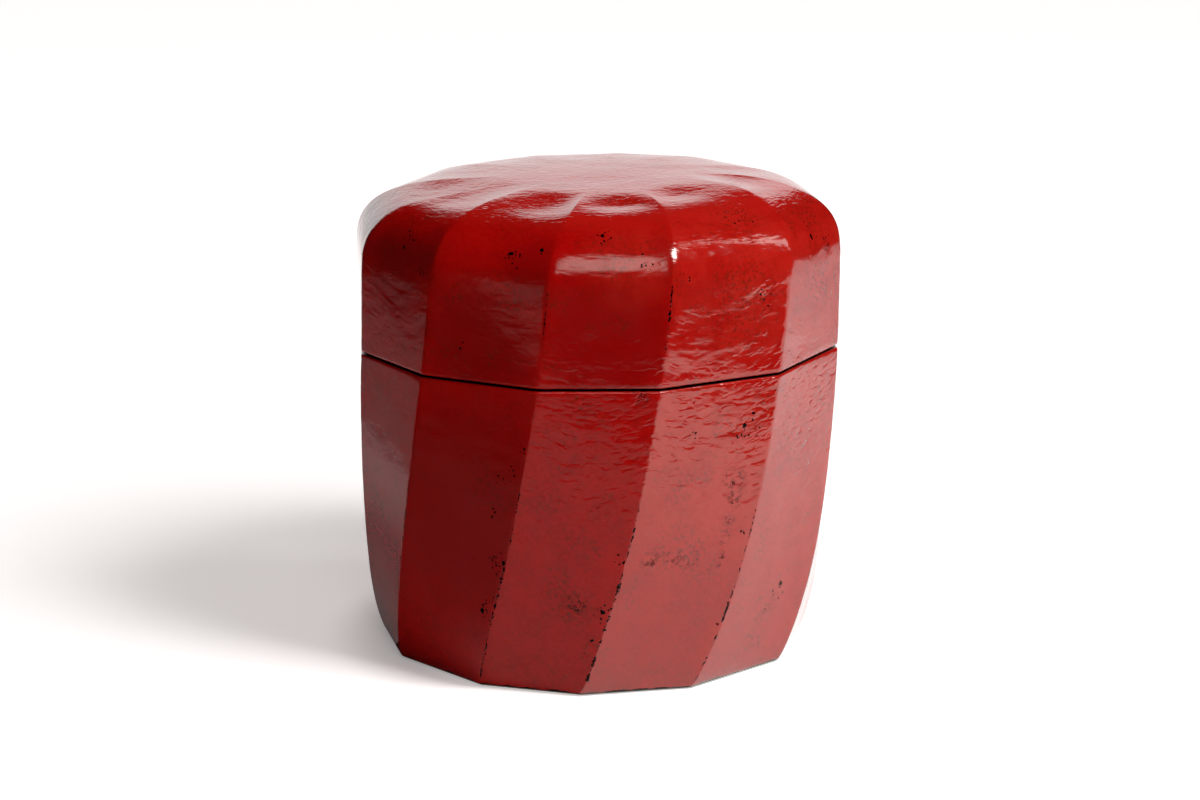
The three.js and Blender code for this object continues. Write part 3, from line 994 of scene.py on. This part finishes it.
def hammered(tree, place):
    """Height of the brush marks: waves, short dents near the seam and streaks on the crown."""
    height = height_of(tree, place)
    strokes = brush_place(tree, place, BRUSH_CLOSENESS)
    waves = grain(tree, strokes, WAVE_SIZE, 1.0, 0.45, 0.4)
    waves = times(tree, waves, ramp(tree, height, *WAVE_RISE))
    waves = times(tree, waves, ramp(tree, height, *WAVE_FALL))
    dents = ramp(tree, grain(tree, strokes, DENT_SIZE, 1.0, 0.5, 0.4), 0.48, 0.8, 0.0, 1.5)
    gathered = ramp(tree, grain(tree, place, DENT_PATCH_SIZE), 0.35, 0.6, 0.45, 1.1)
    near_seam = times(tree, ramp(tree, height, *DENT_RISE), ramp(tree, height, *DENT_FALL))
    dents = times(tree, dents, times(tree, gathered, near_seam))
    streaks = grain(tree, brush_place(tree, place, STREAK_CLOSENESS), STREAK_SIZE, 2.0, 0.5, 0.9)
    streaks = times(tree, streaks, ramp(tree, height, *STREAK_RISE))
    streaks = times(tree, streaks, ramp(tree, height, *STREAK_FALL))
    calm = ramp(tree, attribute(tree, "smoothed"), 0.0, 1.0, 1.0, 0.25)
    return plus(tree, times(tree, minus(tree, waves, dents), calm), streaks)


def ridge_strokes(tree, place):
    """Height of the brush strokes that run along the ridges."""
    strokes = grain(tree, stretched(tree, place, (1.0, 1.0, 0.12)), STROKE_SIZE, 2.0)
    return times(tree, strokes, ramp(tree, attribute(tree, "ridge_mm"), *STROKE_FADE))


def craters(tree, place):
    """Height of the rims of a few small craters."""
    cells = add(tree, "ShaderNodeTexVoronoi", {"Vector": place, "Scale": 1 / CRATER_SPACING})
    chance = add(tree, "ShaderNodeSeparateColor", {0: cells.outputs["Color"]}).outputs[1]
    some = math_node("GREATER_THAN", tree, chance, CRATER_CHANCE)
    pit = ramp(tree, cells.outputs["Distance"], 0.05, 0.13)
    rim = ramp(tree, cells.outputs["Distance"], 0.1, 0.2, 1.0, 0.0)
    return times(tree, some, times(tree, pit, rim))


def bump(tree, height, distance, normal=None):
    """Bumped normal, with the height's full range standing the given distance."""
    inputs = {"Height": height, "Distance": distance, "Strength": 1.0}
    if normal is not None:
        inputs["Normal"] = normal
    return add(tree, "ShaderNodeBump", inputs).outputs[0]


def red_coat(tree, place):
    """Colour of the red coat: clouded, grainy and brown where it is thin, deeper and warmer in places as
    painted shade and painted light, and lighter at the top as painted light.
    """
    broad = ramp(tree, grain(tree, place, BROAD_CLOUD_SIZE, 2.0), 0.35, 0.65)
    clouds = ramp(tree, grain(tree, place, CLOUD_SIZE, 4.0, 0.65), 0.35, 0.65)
    both = plus(tree, times(tree, broad, BROAD_CLOUD_SHARE), times(tree, clouds, CLOUD_SHARE))
    # Towards the deep red in the listed deeper places: painted shade on the front facets, a deeper tone
    # at the back.
    plain = ramp(tree, attribute(tree, "deep_and_shaded"), 0.0, 1.0, 1.0, 0.1)
    colour = blend(tree, times(tree, both, plain), DEEP_RED, RED)
    fine = ramp(tree, grain(tree, place, FINE_CLOUD_SIZE, 4.0, 0.7), 0.35, 0.65, 0.0, 0.7)
    colour = blend(tree, times(tree, fine, plain), colour, WARM_RED)
    # Brick red in the listed warmer places: painted light on the lit side, a warmer tone at the back.
    warmth_and_light = times(tree, attribute(tree, "warm_and_lit"), ramp(tree, both, 0.1, 0.9, 0.4, 0.95))
    colour = blend(tree, warmth_and_light, colour, BRICK_RED)
    # Lighter red towards the top: painted light from above.
    colour = blend(tree, ramp(tree, height_of(tree, place), *TOP_LIT_RISE), colour, TOP_LIT_RED)
    return blend(tree, times(tree, mottle_mask(tree, place), MOTTLE_SHARE), colour, THIN_RED)


def coat_relief(tree, place, bare_and_foot_shade, crackle):
    """Normal of the red coat: brush marks, craters, and the edges of worn and crackled places."""
    calm = ramp(tree, attribute(tree, "smoothed"), 0.0, 1.0, 1.0, 0.15)
    reliefs = [
        (hammered(tree, place), HAMMERED_RELIEF),
        (grain(tree, brush_place(tree, place, HAIR_CLOSENESS), HAIR_SIZE, 2.0), HAIR_RELIEF),
        (times(tree, grain(tree, place, GRAIN_SIZE, 1.0), calm), GRAIN_RELIEF),
        (ridge_strokes(tree, place), STROKE_RELIEF),
        (craters(tree, place), CRATER_RELIEF),
        (minus(tree, 1.0, bare_and_foot_shade), BARE_RELIEF),
        (minus(tree, 1.0, crackle), CRACKLE_RELIEF),
    ]
    normal = None
    for height, distance in reliefs:
        normal = bump(tree, height, distance, normal)
    return normal


def red_lacquer():
    """Red lacquer over black, uneven, pitted and worn at the ridges."""
    material, tree, shader = new_material("red_lacquer")
    place = add(tree, "ShaderNodeTexCoord").outputs["Object"]
    specks = larger(tree, speck_mask(tree, place, *SPECKS), speck_mask(tree, place, *DOTS))
    # The bare undercoat also takes in the foot band, which is partly painted contact shade.
    bare_and_foot_shade = larger(tree, specks, wear_and_foot_shade_mask(tree, place))
    crackle = crackle_mask(tree, place)
    bare_and_foot_shade = larger(tree, bare_and_foot_shade, times(tree, crackle, CRACKLE_SHARE))
    colour = blend(tree, bare_and_foot_shade, red_coat(tree, place), UNDERCOAT)
    tree.links.new(colour, shader.inputs["Base Color"])
    gloss = ramp(tree, grain(tree, place, GLOSS_CLOUD_SIZE, 3.0), 0.3, 0.7, *RED_ROUGHNESS)
    gloss = plus(tree, gloss, times(tree, bare_and_foot_shade, BARE_ROUGHNESS))
    tree.links.new(gloss, shader.inputs["Roughness"])
    tree.links.new(bare_and_foot_shade, shader.inputs["Metallic"])
    tree.links.new(coat_relief(tree, place, bare_and_foot_shade, crackle), shader.inputs["Normal"])
    shader.inputs["IOR"].default_value = RED_IOR
    shader.inputs["Specular Tint"].default_value = RED_SPECULAR_TINT
    return material


def black_lacquer():
    """Black lacquer of the inside, the ring and the foot, faintly brown and brushed round."""
    material, tree, shader = new_material("black_lacquer")
    place = add(tree, "ShaderNodeTexCoord").outputs["Object"]
    clouds = ramp(tree, grain(tree, place, BLACK_CLOUD_SIZE, 3.0), 0.4, 0.7)
    tree.links.new(blend(tree, clouds, BLACK, BROWN_BLACK), shader.inputs["Base Color"])
    gloss = ramp(tree, grain(tree, place, BLACK_GLOSS_SIZE, 3.0), 0.3, 0.7, *BLACK_ROUGHNESS)
    tree.links.new(gloss, shader.inputs["Roughness"])
    brushed = stretched(tree, place, (1.0, 1.0, 3.0))
    normal = bump(tree, grain(tree, brushed, BLACK_BRUSH_SIZE, 2.0), BLACK_BRUSH_RELIEF)
    normal = bump(tree, grain(tree, place, BLACK_GRAIN_SIZE, 1.0), BLACK_GRAIN_RELIEF, normal)
    tree.links.new(normal, shader.inputs["Normal"])
    return material


def dress_pieces():
    """The three pieces, riding on their bodies in place of the solids."""
    red = red_lacquer()
    black = black_lacquer()
    body = make_body()
    lid = make_lid()
    rim = make_rim()
    for piece in (body, lid):
        piece.data.materials.append(red)
        piece.data.materials.append(black)
    rim.data.materials.append(black)
    places = ((body, "body", "body_shell"), (rim, "body", "inner_rim"), (lid, "lid", "lid_shell"))
    for piece, owner, solid in places:
        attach(piece, owner)
        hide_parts(solid)


def seen_plainly(tree):
    """One for rays that show the background: from the camera, a reflection or through glass."""
    path = add(tree, "ShaderNodeLightPath")
    shown = larger(tree, path.outputs["Is Camera Ray"], path.outputs["Is Glossy Ray"])
    return larger(tree, shown, path.outputs["Is Transmission Ray"])


def make_world():
    """Dim even light, with a white background."""
    world = bpy.data.worlds.new("studio")
    bpy.context.scene.world = world
    world.use_nodes = True
    tree = world.node_tree
    tree.nodes.clear()
    dim = add(tree, "ShaderNodeBackground", {"Color": WHITE, "Strength": WORLD_LIGHT})
    white = add(tree, "ShaderNodeBackground", {"Color": WHITE, "Strength": 1.0})
    inputs = {0: seen_plainly(tree), 1: dim.outputs[0], 2: white.outputs[0]}
    mix = add(tree, "ShaderNodeMixShader", inputs)
    add(tree, "ShaderNodeOutputWorld", {"Surface": mix.outputs[0]})


def stage_piece(name, points, faces, material):
    """Object of the stage, with its material."""
    mesh = bpy.data.meshes.new(name)
    mesh.from_pydata(points, [], faces)
    mesh.materials.append(material)
    return new_object(name, mesh)


def floor_white():
    """White paper, lifted to the background's white for rays that show it, less so left of the foot as a
    painted contact shadow.
    """
    material = bpy.data.materials.new("floor_white")
    material.use_nodes = True
    tree = material.node_tree
    tree.nodes.clear()
    paper = add(tree, "ShaderNodeBsdfDiffuse", {"Color": FLOOR_COLOUR})
    place = add(tree, "ShaderNodeTexCoord").outputs["Object"]
    far = add(tree, "ShaderNodeVectorMath", {0: place}, operation="LENGTH").outputs["Value"]
    lift = times(tree, seen_plainly(tree), ramp(tree, far, *FLOOR_LIFT))
    across = add(tree, "ShaderNodeSeparateXYZ", {0: place}).outputs[0]
    # Less lift close to the foot on the left: painted contact shadow.
    painted_shadow = times(tree, ramp(tree, far, *FLOOR_SHADOW_NEAR_FOOT), ramp(tree, across, *FLOOR_SHADOW_LEFT))
    lift = times(tree, lift, minus(tree, 1.0, painted_shadow))
    glow = add(tree, "ShaderNodeEmission", {"Color": FLOOR_LIFT_COLOUR, "Strength": lift})
    both = add(tree, "ShaderNodeAddShader", {0: paper.outputs[0], 1: glow.outputs[0]})
    add(tree, "ShaderNodeOutputMaterial", {"Surface": both.outputs[0]})
    return material


def make_floor():
    """White floor that keeps the shadow."""
    size = FLOOR_HALF_WIDTH
    corners = [(-size, -size, 0), (size, -size, 0), (size, size, 0), (-size, size, 0)]
    floor = stage_piece("floor", corners, [(0, 1, 2, 3)], floor_white())


def soft_box(name, place, aim, width, height, radiance):
    """Rectangular light that fades towards its edges and that the camera does not see."""
    light = bpy.data.lights.new(name, "AREA")
    light.shape = "RECTANGLE"
    light.size = width / (1 - SOFT_EDGE)
    light.size_y = height / (1 - SOFT_EDGE)
    light.energy = radiance * light.size * light.size_y * math.pi
    light.use_nodes = True
    tree = light.node_tree
    sides = add(tree, "ShaderNodeNewGeometry").outputs["Parametric"]
    across = add(tree, "ShaderNodeSeparateXYZ", {0: sides})
    faded = 1.0
    for share in across.outputs[:2]:
        edge = smaller(tree, share, minus(tree, 1.0, share))
        faded = times(tree, faded, ramp(tree, edge, 0.0, SOFT_EDGE))
    tree.links.new(faded, tree.nodes["Emission"].inputs["Strength"])
    lamp = new_object(name, light)
    lamp.location = place
    lamp.rotation_euler = (Vector(aim) - Vector(place)).to_track_quat("-Z", "Y").to_euler()
    lamp.visible_camera = False


def make_lights():
    """Key from the right, a tall box in front and a weak one at the side."""
    for name, settings in LAMPS.items():
        soft_box(name, *settings)


def card(name, points, faces, shade, cover, flag=False):
    """Matt card that only reflections show, as dense as its cover; a flag also keeps soft light off."""
    material, tree, shader = new_material(name)
    shader.inputs["Base Color"].default_value = (shade, shade, shade, 1)
    shader.inputs["Roughness"].default_value = 1.0
    shader.inputs["Specular IOR Level"].default_value = 0.0
    tree.links.new(attribute(tree, "cover"), shader.inputs["Alpha"])
    made = stage_piece(name, points, faces, material)
    store(made, "cover", cover)
    made.visible_camera = False
    made.visible_diffuse = flag
    made.visible_shadow = False
    made.visible_transmission = False


def bearing(angle, distance):
    """Floor point at a bearing in degrees, from straight in front round to the right."""
    return distance * math.sin(math.radians(angle)), -distance * math.cos(math.radians(angle))


def strip(start, count):
    """Faces between two rows of points, the first of which begins at start."""
    return [(k, k + 1, k + count + 1, k + count) for k in range(start, start + count - 1)]


def standing_card(name, stops, height, shade, flag):
    """Card that stands through its stops and fades in between their two heights."""
    count = len(stops)
    points = [(*bearing(angle, distance), low) for angle, distance, low, full in stops]
    points += [(*bearing(angle, distance), full) for angle, distance, low, full in stops]
    points += [(*bearing(angle, distance), height) for angle, distance, low, full in stops]
    cover = [0] * count + [1] * count * 2
    card(name, points, strip(0, count) + strip(count, count), shade, cover, flag)


def ceiling_card():
    """Dark card overhead that thins out towards the back."""
    points = []
    cover = []
    for back, share in CEILING_ROWS:
        points += [(x, back, CEILING_HEIGHT) for x in (-CEILING_HALF_WIDTH, CEILING_HALF_WIDTH)]
        cover += [share, share]
    faces = []
    for row in range(len(CEILING_ROWS) - 1):
        faces += strip(2 * row, 2)
    card("ceiling", points, faces, DARK, cover)


def lying_card(name, near, far, shade, cover, height):
    """Card that lies on the floor between two arcs."""
    points = []
    for first, last, distance in (near, far):
        angles = np.linspace(first, last, ARC_POINTS)
        points += [(*bearing(angle, distance), height) for angle in angles]
    card(name, points, strip(0, ARC_POINTS), shade, cover * 2)


def make_cards():
    """Dark and grey cards that keep the gloss from washing out the red."""
    for settings in STANDING_CARDS:
        standing_card(*settings)
    ceiling_card()
    for settings in LYING_CARDS:
        lying_card(*settings)


def make_camera():
    """Camera at the photograph's viewing angle."""
    data = bpy.data.cameras.new("camera")
    data.lens = CAMERA_LENS
    data.sensor_width = CAMERA_SENSOR
    data.shift_x, data.shift_y = CAMERA_SHIFT
    data.clip_start = CAMERA_NEAR
    camera = new_object("camera", data)
    camera.location = CAMERA_PLACE
    camera.rotation_euler = (CAMERA_AIM - CAMERA_PLACE).to_track_quat("-Z", "Y").to_euler()
    bpy.context.scene.camera = camera


make_camera()
dress_pieces()
make_floor()
make_world()
make_lights()
make_cards()
bpy.context.scene.view_settings.view_transform = "Standard"
